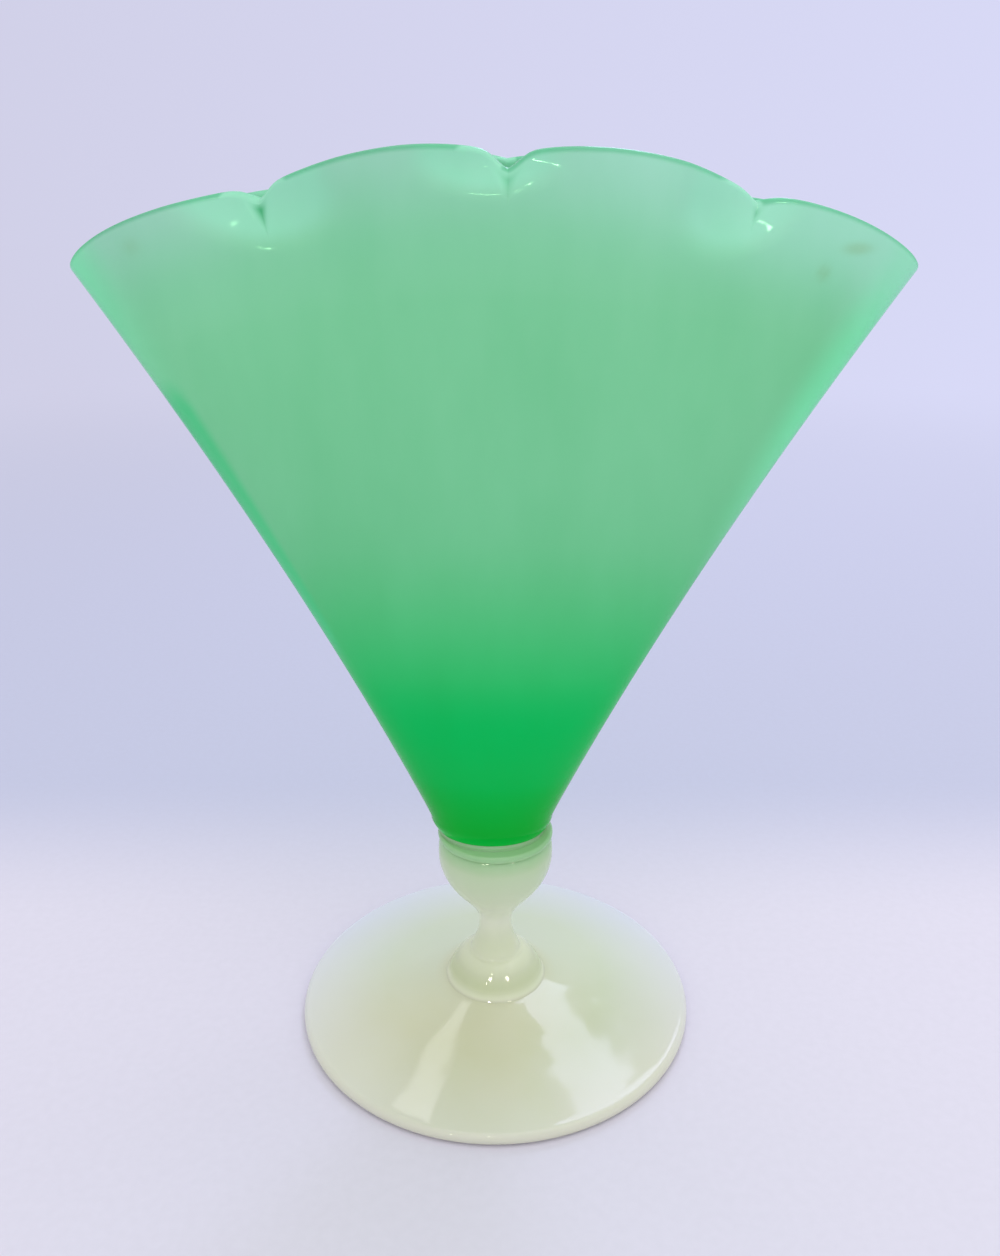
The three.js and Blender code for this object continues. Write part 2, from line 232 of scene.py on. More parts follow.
class GlassSettings(bpy.types.PropertyGroup):
    """Colours and gloss of the two glasses."""

    jade_heel: colour("Jade Heel", (0.0, 0.435, 0.028), "Jade glass in the solid heel")
    jade_low: colour("Jade Low", (0.0, 0.503, 0.076), "Jade glass just above the heel")
    jade_lower: colour("Jade Lower", (0.027, 0.575, 0.148), "Jade glass low on the wall")
    jade_body: colour("Jade Body", (0.18, 0.634, 0.302), "Jade glass at the middle of the wall")
    jade_high: colour("Jade High", (0.243, 0.69, 0.366), "Jade glass under the rim")
    jade_brow: colour("Jade Brow", (0.285, 0.705, 0.43), "Jade glass where the wall turns paler")
    jade_rim: colour("Jade Rim", (0.39, 0.735, 0.565), "Jade glass near the rim")
    # Painted light: paler jade in the pressed dishes, which face up towards the light
    jade_petal_painted_light: colour("Jade Petal", (0.345, 0.81, 0.56), "Jade glass in the pressed dishes")
    # Painted shade: deep green in the small fold below a notch, partly the thicker glass there
    jade_crease_painted_shade: colour("Jade Crease", (0.03, 0.44, 0.15), "Jade glass in the small fold below a notch")
    # Painted light: brighter jade where the side edges turn away from the light
    jade_edge_painted_light: colour("Jade Edge", (0.23, 0.92, 0.475), "Jade glass in the band along each side edge")
    # Painted light: paler jade on the right shoulder and on the whole inner skin, standing in for light from
    # the right and through the thin walls
    jade_painted_light: colour("Jade Pale", (0.44, 0.89, 0.67), "Jade glass on the right shoulder and inside")
    # Painted shade: a deeper green band along the left side edge, where the wall turns away from the light,
    # rather than a seam in the glass
    jade_left_edge_painted_shade: colour("Jade Seam", (0.07, 0.66, 0.255), "Jade glass in the deep seam of the left side edge")
    jade_weld: colour("Jade Weld", (0.0, 0.62, 0.07), "Jade glass at the very bottom, lit through the weld")
    # Painted shade: a darker lip, against the light that falls on its top from overhead
    lip_painted_shade: colour("Lip Tint", (0.45, 0.72, 0.58), "Tint of the rounded lip")
    # Tint of the darker brownish spots near the corners of the front face
    corner_spot_tint: colour("Smudge Tint", (0.85, 0.78, 0.62), "Tint of the old smudges near the corners")
    cloud_tint: colour("Cloud Tint", (0.82, 0.93, 0.86), "Tint of the cloudy streaks in the jade")
    pearl_foot: colour("Pearl Foot", (0.645, 0.655, 0.445), "Pearl glass in the middle of the foot")
    # Painted light: paler pearl in the groove where the wafer meets the foot
    pearl_fillet_painted_light: colour("Pearl Fillet", (0.76, 0.80, 0.56), "Pearl glass where the wafer meets the foot")
    pearl_bead: colour("Pearl Bead", (0.60, 0.655, 0.40), "Pearl glass in the wafer on the foot")
    pearl_flare: colour("Pearl Flare", (0.72, 0.765, 0.54), "Pearl glass where the stem spreads out")
    pearl_neck: colour("Pearl Neck", (0.71, 0.765, 0.54), "Pearl glass in the neck of the stem")
    # Painted light: paler pearl at the top of the neck, in place of light through the translucent stem
    pearl_waist_painted_light: colour("Pearl Waist", (0.80, 0.85, 0.69), "Pearl glass at the top of the neck")
    pearl_cup: colour("Pearl Cup", (0.54, 0.69, 0.43), "Pearl glass high in the cup, in green light")
    # Painted light and reflection of the jade bowl turn these two green
    pearl_weld_bowl_light: colour("Pearl Weld", (0.33, 0.60, 0.29), "Pearl glass of the wafer under the bowl")
    pearl_rise_bowl_light: colour("Pearl Rise", (0.40, 0.68, 0.37), "Pearl glass that rose around the heel")
    pearl_thin: colour("Pearl Thin", (0.70, 0.70, 0.57), "Pearl glass at the thin edge of the foot")
    # Painted reflection: the rear half of the foot less yellow under the sheen of the window behind, and its
    # back edge taking the lavender of the cloth
    pearl_rear_painted_sheen: colour("Pearl Rear", (0.64, 0.715, 0.56), "Pearl glass on the rear half of the foot")
    pearl_back_painted_reflection: colour("Pearl Back", (0.70, 0.73, 0.82), "Pearl glass at the back edge, over the cloth")
    pearl_side: colour("Pearl Side", (0.88, 0.97, 0.94), "Tint of the right half of the pearl glass")
    pearl_cloud: colour("Pearl Cloud", (0.72, 0.74, 0.66), "Cloudy streaks in the pearl glass")
    roughness: share("Roughness", 0.06, "Roughness of the fire polish")


class StageSettings(bpy.types.PropertyGroup):
    """The table, the light and the camera."""

    table_colour: colour("Table Colour", (0.748, 0.715, 0.81), "Colour of the table")
    # Painted shade: darker, bluer cloth behind the vase, where the vase shades it
    rear_painted_shade: colour("Rear Colour", (0.555, 0.57, 0.715), "Colour of the cloth behind the vase")
    backdrop_left: colour("Backdrop Left", (0.635, 0.63, 0.80), "Colour far behind the table on the left")
    backdrop_right: colour("Backdrop Right", (0.69, 0.70, 0.93), "Colour far behind the table on the right")
    ambient: share("Ambient", 0.80, "Strength of the light from all around", top=5.0)
    overhead_power: share("Overhead Power", 4.6, "Power of the soft light overhead, in watts", top=100.0)
    window_power: share("Window Power", 1.6, "Power of the window behind on the right, in watts", top=100.0)
    strip_power: share("Strip Power", 0.128, "Power of the window behind on the left, in watts", top=100.0)
    card_power: share("Card Power", 0.5, "Power of the fill card in front, in watts", top=100.0)
    lamp_power: share("Lamp Power", 0.42, "Power of each lamp that glints in the dishes, in watts", top=100.0)
    bead_power: share("Bead Power", 3.2, "Power of each lamp that glints in the bead, in watts", top=100.0)
    table_size: length("Table Size", 12.0, "Width and depth of the table")
    table_gap: length("Table Gap", 0.0001, "Gap that keeps the table's face clear of the foot's")
    camera_distance: length("Camera Distance", 0.243, "Distance of the camera in front of the stem")
    camera_height: length("Camera Height", 0.2036, "Height of the camera above the table")
    camera_side: length("Camera Side", 0.0012, "Distance of the camera to the right of the stem")
    camera_pitch: FloatProperty(name="Camera Pitch", description="How far the camera looks down",
                                default=math.radians(21.25), subtype="ANGLE")
    lens: FloatProperty(name="Lens", description="Focal length on a sensor 36 mm high", default=31.13,
                        min=1.0, subtype="DISTANCE_CAMERA")


def mesh_piece(name, points, faces, material, node, values=None):
    """A smooth mesh that stands for a CAD node and rides on the vase."""
    mesh = bpy.data.meshes.new(name)
    mesh.from_pydata([tuple(p) for p in points], [], faces)
    mesh.polygons.foreach_set("use_smooth", [True] * len(mesh.polygons))
    for key, numbers in (values or {}).items():
        attribute = mesh.attributes.new(key, "FLOAT", "POINT")
        attribute.data.foreach_set("value", np.asarray(numbers, np.float32))
    mesh.materials.append(material)
    mesh.validate()
    piece = bpy.data.objects.new(name, mesh)
    bpy.context.scene.collection.objects.link(piece)
    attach(piece, "root")
    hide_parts(node)
    return piece


def loft(rings, start, end):
    """Points and faces of a skin over a stack of rings, closed at each end on a middle point."""
    count = len(rings[0])
    points = np.vstack([[start], *rings, [end]])
    last = len(points) - 1
    top = 1 + (len(rings) - 1) * count
    faces = []
    for i in range(count):
        j = (i + 1) % count
        faces.append((0, 1 + j, 1 + i))
        faces.append((last, top + i, top + j))
        for ring in range(len(rings) - 1):
            low = 1 + ring * count
            faces.append((low + i, low + j, low + count + j, low + count + i))
    return points, faces


def closed_loft(rings):
    """Points and faces of a skin over a stack of rings that comes back to the first ring."""
    count = len(rings[0])
    faces = []
    for ring in range(len(rings)):
        low, high = ring * count, (ring + 1) % len(rings) * count
        for i in range(count):
            j = (i + 1) % count
            faces.append((low + i, low + j, high + j, high + i))
    return np.vstack(rings), faces


def ramp(value, low, high):
    """A number that goes from 0 to 1 as a value goes from low to high, and stays there beyond them."""
    return np.clip((value - low) / (high - low), 0, 1)


class FanBowl:
    """The wall of the fan bowl, as points for any line up the wall, height and depth in the glass."""

    def __init__(self, sizes):
        self.s = sizes
        self.heel_top = sizes.bottom + sizes.heel_height
        self.ends = self.finger_ends()
        front = self.wall_lines(-1.0)
        rear = self.wall_lines(1.0)
        self.face = np.concatenate([np.full(len(front[0]) - 1, -1.0), np.full(len(rear[0]) - 1, 1.0)])
        self.across = np.concatenate([front[0][:-1], rear[0][1:][::-1]])
        self.rim = np.concatenate([front[1][:-1], rear[1][1:][::-1]])

    def wall_share(self, z):
        """How high a place lies on the wall, from 0 above the heel to 1 at the corners."""
        return (z - self.heel_top) / (self.s.corner_level - self.heel_top)

    def heel_turn(self, z):
        """How far the heel has rounded in, from 0 at its top to 1 at the weld face."""
        return ((self.heel_top - z) / self.s.heel_height) ** 2

    def middle(self, z):
        """Where the middle of the fan lies. It leans from the heel back to the stem's axis."""
        return self.s.heel_shift * (np.clip(self.wall_share(z), 0, 1) - 1)

    def half_width(self, z):
        """Half the width of the fan, which flares with a slight bow above the rounded heel."""
        s = self.s
        t = self.wall_share(z)
        heel = s.heel_width / 2
        flare = heel + (s.fan_width / 2 - heel) * t - 4 * s.edge_bow * t * (1 - t)
        return np.where(t < 0, heel + (s.pad_width / 2 - heel) * self.heel_turn(z), flare)

    def half_depth(self, z):
        """Half the depth of the fan at its middle, before the dishes are pressed in."""
        s = self.s
        t = self.wall_share(z)
        heel = s.heel_depth / 2
        flare = heel + (s.mouth_depth / 2 - heel) * t
        return np.where(t < 0, heel + (s.pad_depth / 2 - heel) * self.heel_turn(z), flare)

    def finger_ends(self):
        """Place across, as a share of the half width, and height of the corners and the notches."""
        s = self.s
        ends = [(-1.0, s.corner_level)]
        for i in (-1, 0, 1):
            x = s.notch_shift + i * s.notch_spacing
            z = s.notch_crown - s.notch_radius + math.sqrt(s.notch_radius**2 - x**2)
            ends.append((x / float(self.half_width(z)), z))
        return ends + [(1.0, s.corner_level)]

    def wall_lines(self, face):
        """Places across the fan, crowded at the notches, and the height of the rim over each."""
        s = self.s
        t = (1 - np.cos(np.pi * np.arange(s.finger_facets) / s.finger_facets)) / 2
        across, rim = [], []
        tops = zip(s.finger_arches, s.arch_powers, s.left_sags, s.right_sags)
        for (arch, power, left, right), start, end in zip(tops, self.ends, self.ends[1:]):
            place = start[0] + (end[0] - start[0]) * t
            arched = start[1] + (end[1] - start[1]) * t + arch * (4 * t * (1 - t)) ** power
            arched = arched - SAG_SCALE * t * (1 - t) * (left * (1 - t) + right * t)
            if face < 0:
                for notch, dip in zip(self.ends[1:4], s.front_dips):
                    aside = 2 * (place - notch[0]) * self.half_width(arched) / s.front_dip_width
                    arched = arched - dip * np.exp(-aside * aside)
            across.append(place)
            rim.append(arched)
        across.append([1.0])
        rim.append([s.corner_level])
        return np.concatenate(across), np.concatenate(rim)

    def dishes(self, z):
        """How far into each of the three pressed dishes the wall lies, 1 at the middle and 0 at the edge."""
        s = self.s
        rows = []
        for notch, shift, width, drop in zip(self.ends[1:4], s.dish_shifts, s.dish_widths, s.dish_lengths):
            aside = ((self.across - notch[0]) * self.half_width(z) - shift) / width
            below = np.maximum(notch[1] - z, 0) / drop
            rows.append(np.maximum(1 - aside**2 - below**2, 0) ** s.dish_edge)
        return np.array(rows)

    def folds(self, z):
        """Depth of the small fold inside each dish, 1 at the notch and 0 at its sides and its point."""
        s = self.s
        rows = []
        for notch, width, drop in zip(self.ends[1:4], s.fold_widths, s.fold_lengths):
            aside = np.abs(self.across - notch[0]) * self.half_width(z)
            taper = np.clip(1 - (self.rim - z) / drop, 0, 1)
            rows.append(np.clip(taper - 2 * aside / width, 0, 1))
        return np.array(rows)

    def ring(self, z, inset):
        """One closed loop of the wall. Inset 0 is the outer skin and 1 the inner skin."""
        s = self.s
        z = np.broadcast_to(np.asarray(z, float), self.rim.shape)
        t = np.clip(self.wall_share(z), 0, 1)
        power = 2 + (s.face_flatness - 2) * t
        oval = np.maximum(1 - np.abs(self.across) ** power, 0) ** (1 / power)
        width = self.half_width(z)
        rib = s.rib_depth * t * np.cos(2 * np.pi * self.across * width / s.rib_pitch)
        opened = (self.half_depth(z) + rib) * oval
        dishes = np.max(self.dishes(z).T * np.array(s.dish_depths), axis=1)
        pressed = dishes + s.fold_depth * np.max(self.folds(z), axis=0)
        depth = opened - pressed * oval - inset * s.wall * oval
        side = self.across * (width - inset * s.edge_wall)
        return np.stack([self.middle(z) + side, self.face * depth, z], axis=1)

    def rings(self):
        """Loops up the outer skin, over the rounded lip and down the inner skin."""
        s = self.s
        lip = s.wall / 2
        floor = s.bottom + s.floor_thickness
        climb = 1 - (1 - np.arange(s.wall_rows + 1) / s.wall_rows) ** 2
        rings = [self.ring(s.bottom + k * s.heel_height, 0) for k in np.linspace(0, 0.9, HEEL_LOOPS)]
        rings += [self.ring(self.heel_top + (self.rim - lip - self.heel_top) * k, 0) for k in climb]
        for turn in np.linspace(0, np.pi, LIP_LOOPS + 2)[1:-1]:
            rings.append(self.ring(self.rim - lip * (1 - np.sin(turn)), (1 - np.cos(turn)) / 2))
        base = floor + s.wall
        rings += [self.ring(base + (self.rim - lip - base) * k, 1) for k in climb[::-1]]
        inner = rings[-1]
        for k in FLOOR_STEPS:
            level = floor + s.wall * (1 - math.sqrt(1 - k * k))
            x = (inner[:, 0] + s.heel_shift) * k - s.heel_shift
            rings.append(np.column_stack([x, inner[:, 1] * k, np.full(len(inner), level)]))
        return rings

    def weld_rings(self):
        """Loops over the thin bead of pearl glass that rose around the heel, and back down behind it."""
        s = self.s
        loops = []
        for turn in np.linspace(0, np.pi / 2, 8):
            z = s.bottom + s.weld_rise * (1 - np.cos(turn))
            heel = self.ring(z, 0)
            stands_out = 1 - np.sin(turn)
            wider = 1 + s.weld_swell * stands_out / self.half_width(z)
            deeper = 1 + 2 * s.weld_rise * stands_out / self.half_depth(z)
            x = self.middle(z) + (heel[:, 0] - self.middle(z)) * wider
            loops.append(np.column_stack([x, heel[:, 1] * deeper, heel[:, 2]]))
        return loops + [self.ring(s.bottom, 0)]

    def corner_spots(self, x, z):
        """Strength of the darker spots near the corners of the front face."""
        strength = np.zeros(len(z))
        for place, level, wide, tall, most in CORNER_SPOTS:
            strength += most * np.exp(-((x - place) / wide) ** 2 - ((z - level) / tall) ** 2)
        return strength * (self.face < 0)

    def ring_marks(self, ring, outer, inside):
        """Numbers that tell the jade glass where each point of one loop lies, most of them from 0 to 1."""
        s = self.s
        x, z = ring[:, 0], ring[:, 2]
        right = self.across > 0
        crown = s.notch_crown + s.finger_arches[1] - s.notch_radius + np.sqrt(s.notch_radius**2 - x * x)
        high = ramp(z, self.heel_top, crown)
        below = self.rim - z
        dish = np.max(self.dishes(z), axis=0)
        band_low = np.where(right, EDGE_BAND_RIGHT_LOW, EDGE_BAND_LEFT_LOW)
        band = ramp(np.abs(self.across), *EDGE_BAND) * np.where(right, 1.0, EDGE_BAND_LEFT_STRENGTH)
        fold = np.max(self.folds(z).T * np.array(s.fold_shade_tints), axis=1)
        return {
            "wall_height": high,
            "heel": ramp(z, self.heel_top, s.bottom),
            # Painted light along both side edges
            "side_edge_painted_light": band * ramp(high, band_low, band_low + EDGE_BAND_FADE),
            # Painted shade along the left side edge
            "left_edge_painted_shade": ramp(-self.across, *LEFT_EDGE_SHADE_BAND) * ramp(np.abs(high - LEFT_EDGE_SHADE_MIDDLE), *LEFT_EDGE_SHADE_REACH),
            # Painted light on the right shoulder
            "right_shoulder_painted_light": ramp(self.across, *SHOULDER_ACROSS) * ramp(high, *SHOULDER_HEIGHT),
            # Painted light over the inner skin
            "inside": np.full(len(z), float(inside)),
            # Painted light in the pressed dishes
            "dish": dish,
            # Painted shade on the lip, a little weaker in the middle of the dishes
            "lip": ramp(below, s.lip_reach, 0) * np.clip(5 - 5 * dish, 0.75, 1),
            # Painted shade in the small folds, on the outer skin
            "fold": fold * ramp(below, s.fold_drop * 0.5, s.fold_drop * 1.5) * float(outer),
            "corner_spot": self.corner_spots(x, z) * float(outer),
        }

    def marks(self, rings):
        """The marks of every loop, and of the middle points that close the loft at both ends."""
        lip_start = HEEL_LOOPS + self.s.wall_rows
        inside_start = lip_start + LIP_LOOPS - 2
        rows = [self.ring_marks(ring, row < lip_start, row >= inside_start) for row, ring in enumerate(rings)]
        return {key: np.concatenate([[0.0], *(row[key] for row in rows), [0.0]]) for key in rows[0]}


class Profile:
    """A half-profile of a turned piece as (radius, height) points, drawn with lines and soft curves."""

    def __init__(self, radius, height, steps):
        self.points = [(radius, height)]
        self.steps = steps

    def line(self, radius, height):
        self.points.append((radius, height))

    def curve(self, *controls):
        """A curve with one or two control points, from where the profile is to the last point given."""
        knots = np.array([self.points[-1], *controls])
        order = len(knots) - 1
        for t in np.linspace(0, 1, self.steps + 1)[1:]:
            weights = [math.comb(order, k) * t**k * (1 - t) ** (order - k) for k in range(order + 1)]
            self.points.append(tuple(np.array(weights) @ knots))

    def half_round(self, radius, height, size):
        """A half circle of that size, bulging outward, from above its centre to below it."""
        for turn in np.linspace(np.pi / 2, -np.pi / 2, 2 * self.steps + 1)[1:]:
            self.points.append((radius + size * math.cos(turn), height + size * math.sin(turn)))


def turned_piece(profile, facets, name, node):
    """The pearl piece that a half-profile, from the axis above to the axis below, sweeps around the stem."""
    turns = 2 * np.pi * np.arange(facets) / facets
    rings = [np.column_stack([r * np.cos(turns), r * np.sin(turns), np.full(facets, z)])
             for r, z in reversed(profile.points[1:-1])]
    start, end = profile.points[-1], profile.points[0]
    points, faces = loft(rings, (0, 0, start[1]), (0, 0, end[1]))
    piece = mesh_piece(name, points, faces, glass_named(PEARL), node)
    piece.data.set_sharp_from_angle(angle=CREASE_ANGLE)


def new_node(tree, kind, label, **inputs):
    """A shader node with its unlinked inputs set by name."""
    made = tree.nodes.new(kind)
    made.label = label
    for key, value in inputs.items():
        made.inputs[key.replace("_", " ")].default_value = value
    return made


def blank_material(name):
    """A material with an empty node tree and its output."""
    material = bpy.data.materials.new(name)
    material.use_nodes = True
    material.node_tree.nodes.clear()
    output = material.node_tree.nodes.new("ShaderNodeOutputMaterial")
    return material, material.node_tree, output


def object_place(tree):
    """The place of a point on the vase, as a vector socket and as sockets for X, Y and Z."""
    place = tree.nodes.new("ShaderNodeTexCoord").outputs["Object"]
    axes = tree.nodes.new("ShaderNodeSeparateXYZ")
    tree.links.new(place, axes.inputs["Vector"])
    return place, axes.outputs


def map_range(tree, label, value, low, high, start=0.0, end=1.0, smooth=False):
    """A value that goes from start to end as a socket goes from low to high."""
    mapped = new_node(tree, "ShaderNodeMapRange", label, From_Min=low, From_Max=high, To_Min=start,
                      To_Max=end)
    mapped.interpolation_type = "SMOOTHSTEP" if smooth else "LINEAR"
    tree.links.new(value, mapped.inputs["Value"])
    return mapped.outputs["Result"]


def math_node(tree, label, operation, first, second):
    """The result of one operation on two value sockets."""
    made = new_node(tree, "ShaderNodeMath", label)
    made.operation = operation
    tree.links.new(first, made.inputs[0])
    tree.links.new(second, made.inputs[1])
    return made.outputs["Value"]


def vector_node(tree, label, operation, vector, result):
    """A named result of one operation on a vector socket."""
    made = new_node(tree, "ShaderNodeVectorMath", label)
    made.operation = operation
    tree.links.new(vector, made.inputs[0])
    return made.outputs[result]


def noise(tree, label, place, **inputs):
    """A noise over a vector socket."""
    made = new_node(tree, "ShaderNodeTexNoise", label, **inputs)
    tree.links.new(place, made.inputs["Vector"])
    return made


def mix_colours(tree, label, factor, first, second, blend="MIX"):
    """A mix of two colours, each a socket or a plain colour, by a factor socket."""
    mix = tree.nodes.new("ShaderNodeMix")
    mix.data_type = "RGBA"
    mix.blend_type = blend
    mix.label = label
    tree.links.new(factor, mix.inputs[0])
    for socket, value in ((mix.inputs[6], first), (mix.inputs[7], second)):
        if isinstance(value, bpy.types.NodeSocket):
            tree.links.new(value, socket)
        else:
            socket.default_value = (*value, 1.0)
    return mix.outputs[2]


def colour_ramp(tree, label, factor, stops):
    """A ramp of colours along a factor socket."""
    made = tree.nodes.new("ShaderNodeValToRGB")
    made.label = label
    made.color_ramp.interpolation = "CARDINAL"
    while len(made.color_ramp.elements) < len(stops):
        made.color_ramp.elements.new(0.5)
    for element, (place, tone) in zip(made.color_ramp.elements, stops):
        element.position = place
        element.color = (*tone, 1.0)
    tree.links.new(factor, made.inputs["Fac"])
    return made.outputs["Color"]


def mesh_number(tree, name):
    """A number that the mesh carries at each point."""
    number = tree.nodes.new("ShaderNodeAttribute")
    number.attribute_name = name
    return number.outputs["Fac"]


def hand_worked_glass():
    """The shared marks of hand-worked glass: cloudy streaks, a varied polish and a slow waviness."""
    name = "HandWorkedGlass"
    if name in bpy.data.node_groups:
        return bpy.data.node_groups[name]
    group = bpy.data.node_groups.new(name, "ShaderNodeTree")
    for socket, default in (("Streak Size", 60.0), ("Polish", 0.06)):
        made = group.interface.new_socket(socket, in_out="INPUT", socket_type="NodeSocketFloat")
        made.default_value = default
    for socket in ("Cloud", "Roughness", "Height"):
        group.interface.new_socket(socket, in_out="OUTPUT", socket_type="NodeSocketFloat")
    entry = group.nodes.new("NodeGroupInput")
    leave = group.nodes.new("NodeGroupOutput")
    place = group.nodes.new("ShaderNodeTexCoord").outputs["Object"]
    stretch = new_node(group, "ShaderNodeMapping", "stretch streaks upward", Scale=(1.0, 1.0, 0.35))
    group.links.new(place, stretch.inputs["Vector"])
    drawn_up = stretch.outputs["Vector"]
    cloud = noise(group, "cloud", drawn_up, Detail=3.0, Roughness=0.55)
    group.links.new(entry.outputs["Streak Size"], cloud.inputs["Scale"])
    smears = noise(group, "smears", place, Scale=140.0, Detail=4.0)
    vary = map_range(group, "vary polish", smears.outputs["Fac"], 0.35, 0.75, 0.8, 1.5)
    polish = math_node(group, "polish", "MULTIPLY", vary, entry.outputs["Polish"])
    wave = noise(group, "slow waviness", drawn_up, Scale=70.0, Detail=1.0)
    group.links.new(cloud.outputs["Fac"], leave.inputs["Cloud"])
    group.links.new(polish, leave.inputs["Roughness"])
    group.links.new(wave.outputs["Fac"], leave.inputs["Height"])
    return group


def worked_surface(tree, shader, streak_size, polish, wave_height):
    """Links the polish and the waviness of worked glass to a shader, and gives the socket of its clouds."""
    marks = tree.nodes.new("ShaderNodeGroup")
    marks.node_tree = hand_worked_glass()
    marks.inputs["Streak Size"].default_value = streak_size
    marks.inputs["Polish"].default_value = polish
    bump = new_node(tree, "ShaderNodeBump", "waviness", Strength=1.0, Distance=wave_height)
    tree.links.new(marks.outputs["Height"], bump.inputs["Height"])
    tree.links.new(bump.outputs["Normal"], shader.inputs["Normal"])
    tree.links.new(marks.outputs["Roughness"], shader.inputs["Roughness"])
    return marks.outputs["Cloud"]


def jade_material(glass):
    """Translucent jade glass, deepest in the heel and paler where the wall thins towards the rim, with
    painted light and shade laid over it.
    """
    material, tree, output = blank_material(JADE)
    shader = new_node(tree, "ShaderNodeBsdfPrincipled", "jade glass", IOR=1.5, Specular_IOR_Level=0.2,
                      Specular_Tint=(0.45, 1.0, 0.6, 1.0), Subsurface_Weight=0.15, Subsurface_Scale=0.002,
                      Subsurface_Radius=(0.6, 1.0, 0.8))
    cloud = worked_surface(tree, shader, 55.0, glass.roughness, 0.0001)
    high = map_range(tree, "height on the wall", mesh_number(tree, "wall_height"), 0.0, 1.0)
    # Deep green where the glass is thick low down, paler where it thins; the paleness of the upper wall is
    # partly a painted reflection of the bright room
    stops = ((0.0, glass.jade_heel), (0.08, glass.jade_low), (0.255, glass.jade_lower),
             (0.47, glass.jade_body), (0.80, glass.jade_high), (0.90, glass.jade_brow),
             (1.0, glass.jade_rim))
    tone = colour_ramp(tree, "jade from heel to rim", high, stops)
    # Each tint lies over those before it: its mark, where it starts and is full, strength, colour and blend
    tints = (
        # Painted light over the inner skin
        ("inside", 0.0, 1.0, 0.7, glass.jade_painted_light, "MIX"),
        # Painted light in the pressed dishes
        ("dish", 0.0, 0.5, 0.75, glass.jade_petal_painted_light, "MIX"),
        ("heel", 0.1, 1.0, 1.0, glass.jade_weld, "MIX"),
        # Painted light along both side edges
        ("side_edge_painted_light", 0.0, 1.0, 0.75, glass.jade_edge_painted_light, "MIX"),
        # Painted light on the right shoulder
        ("right_shoulder_painted_light", 0.0, 1.0, 0.65, glass.jade_painted_light, "MIX"),
        # Painted shade along the left side edge
        ("left_edge_painted_shade", 0.0, 1.0, 0.8, glass.jade_left_edge_painted_shade, "MIX"),
        # Painted shade in the small folds
        ("fold", 0.0, 0.75, 0.85, glass.jade_crease_painted_shade, "MIX"),
        ("corner_spot", 0.0, 1.0, 0.6, glass.corner_spot_tint, "MULTIPLY"),
        # Painted shade on the lip
        ("lip", 0.62, 0.9, 1.0, glass.lip_painted_shade, "MULTIPLY"),
    )
    for name, low, full, strength, tint, blend in tints:
        mask = map_range(tree, f"{name} mask", mesh_number(tree, name), low, full, end=strength, smooth=True)
        tone = mix_colours(tree, name, mask, tone, tuple(tint), blend)
    clouds = map_range(tree, "cloud strength", cloud, 0.35, 0.75, end=0.7)
    tone = mix_colours(tree, "cloud", clouds, tone, tuple(glass.cloud_tint), "MULTIPLY")
    tree.links.new(tone, shader.inputs["Base Color"])
    tree.links.new(shader.outputs["BSDF"], output.inputs["Surface"])
    return material


def pearl_material(glass):
    """Milky pearl glass with a faint yellow-green tint. Its deeper green under the bowl is painted light and
    reflection from the jade, and the stem and foot carry more painted light and reflection.
    """
    material, tree, output = blank_material(PEARL)
    shader = new_node(tree, "ShaderNodeBsdfPrincipled", "pearl glass", IOR=1.5, Specular_IOR_Level=0.25,
                      Subsurface_Weight=0.15, Subsurface_Scale=0.002, Subsurface_Radius=(1.0, 1.0, 0.8))
    cloud = worked_surface(tree, shader, 80.0, glass.roughness, 0.00016)
    place, axes = object_place(tree)
    level = map_range(tree, "height on the stem", axes["Z"], 0.0, PEARL_TOP)
    # The pearl's own tint along the stem, with painted light: paler at the top of the neck and where the
    # wafer meets the foot, darker in the wafer partly as a painted reflection of the bowl, and green in the
    # cup and the welds as painted light and reflection of the jade bowl
    stops = ((0.157, glass.pearl_foot), (0.17, glass.pearl_fillet_painted_light), (0.215, glass.pearl_bead),
             (0.295, glass.pearl_flare), (0.375, glass.pearl_neck), (0.52, glass.pearl_waist_painted_light),
             (0.86, glass.pearl_cup), (0.945, glass.pearl_weld_bowl_light), (0.966, glass.pearl_weld_bowl_light),
             (0.978, glass.pearl_rise_bowl_light))
    tone = colour_ramp(tree, "pearl from foot to weld", level, stops)
    side = map_range(tree, "right half", axes["X"], 0.004, 0.03)
    tone = mix_colours(tree, "greener right half", side, tone, tuple(glass.pearl_side), "MULTIPLY")
    on_foot = map_range(tree, "only on the foot", axes["Z"], FOOT_HIGH.z + 0.0004, FOOT_HIGH.z - 0.0006)
    # Painted reflection on the rear half of the foot
    rear = map_range(tree, "rear half", axes["Y"], -0.022, 0.018, end=0.9, smooth=True)
    rear = math_node(tree, "rear half of the foot", "MULTIPLY", rear, on_foot)
    tone = mix_colours(tree, "rear half", rear, tone, tuple(glass.pearl_rear_painted_sheen))
    span = vector_node(tree, "distance from the vase's base", "LENGTH", place, "Value")
    thin = map_range(tree, "towards the edge", span, 0.030, FOOT_HIGH.x)
    thin = math_node(tree, "thin edge of the foot", "MULTIPLY", thin, on_foot)
    # Painted reflection of the cloth at the back edge of the foot
    back = map_range(tree, "back of the foot", axes["Y"], -0.03, 0.03)
    edge = mix_colours(tree, "front and back", back, tuple(glass.pearl_thin), tuple(glass.pearl_back_painted_reflection))
    tone = mix_colours(tree, "thin edge", thin, tone, edge)
    clouds = map_range(tree, "cloud strength", cloud, 0.3, 0.8, end=0.15)
    tone = mix_colours(tree, "cloud", clouds, tone, tuple(glass.pearl_cloud))
    tree.links.new(tone, shader.inputs["Base Color"])
    tree.links.new(shader.outputs["BSDF"], output.inputs["Surface"])
    return material


